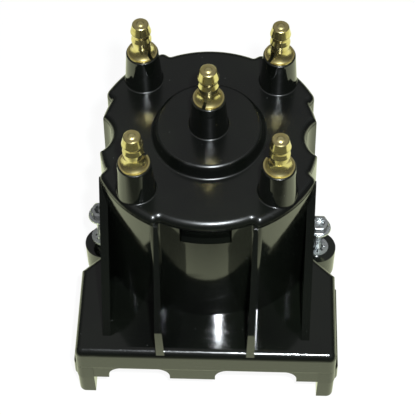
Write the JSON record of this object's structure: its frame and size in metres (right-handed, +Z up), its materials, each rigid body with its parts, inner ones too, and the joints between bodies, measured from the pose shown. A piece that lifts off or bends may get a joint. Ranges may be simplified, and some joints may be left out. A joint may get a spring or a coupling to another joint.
{
  "type": "distributor cap",
  "caption": "Moulded black distributor cap: round drafted tower with brass push-on lead terminals, ribbed to a skirted square base over a module bay, with captive fixing screws.",
  "frame": {"origin": "on the rotor axis, in the plane of the mouth that seats on the distributor housing", "axes": "+Z up along the rotor axis, towards the lead terminals; -Y to the front, where the square base is; +X to the right, towards the right-hand screw"},
  "size_m": [0.0876, 0.0886, 0.1075],
  "materials": {
    "moulding": "glossy black phenolic moulding",
    "terminal_brass": "bright drawn brass, a little tarnished",
    "electrode_metal": "turned brass rod",
    "carbon": "pressed carbon",
    "plated_steel": "bright zinc plate"
  },
  "bodies": {
    "cap": {"cap_body": "moulding", "terminal_front_left": "terminal_brass", "terminal_front_right": "terminal_brass", "terminal_rear_left": "terminal_brass", "terminal_rear_right": "terminal_brass", "terminal_centre": "terminal_brass", "electrode_front_left": "electrode_metal", "electrode_front_right": "electrode_metal", "electrode_rear_left": "electrode_metal", "electrode_rear_right": "electrode_metal", "electrode_centre": "electrode_metal", "carbon_button": "carbon", "lock_washer_right": "plated_steel"},
    "left_screw": {"screw_left": "plated_steel"},
    "right_screw": {"screw_right": "plated_steel"},
    "left_washer": {"lock_washer_left": "plated_steel"}
  },
  "joints": [
    {"name": "left_screw_slide", "type": "slide", "parent": "cap", "child": "left_screw", "axis": [0, 0, 1], "range_m": [-0.0163, 0]},
    {"name": "left_washer_slide", "type": "slide", "parent": "cap", "child": "left_washer", "axis": [0, 0, 1], "range_m": [-0.004, 0]},
    {"name": "right_screw_slide", "type": "slide", "parent": "cap", "child": "right_screw", "axis": [0, 0, 1], "range_m": [-0.01135, 0]}
  ],
  "couplings": [
    {"joint": "left_washer_slide", "follows": "left_screw_slide", "ratio": 0.2453}
  ]
}
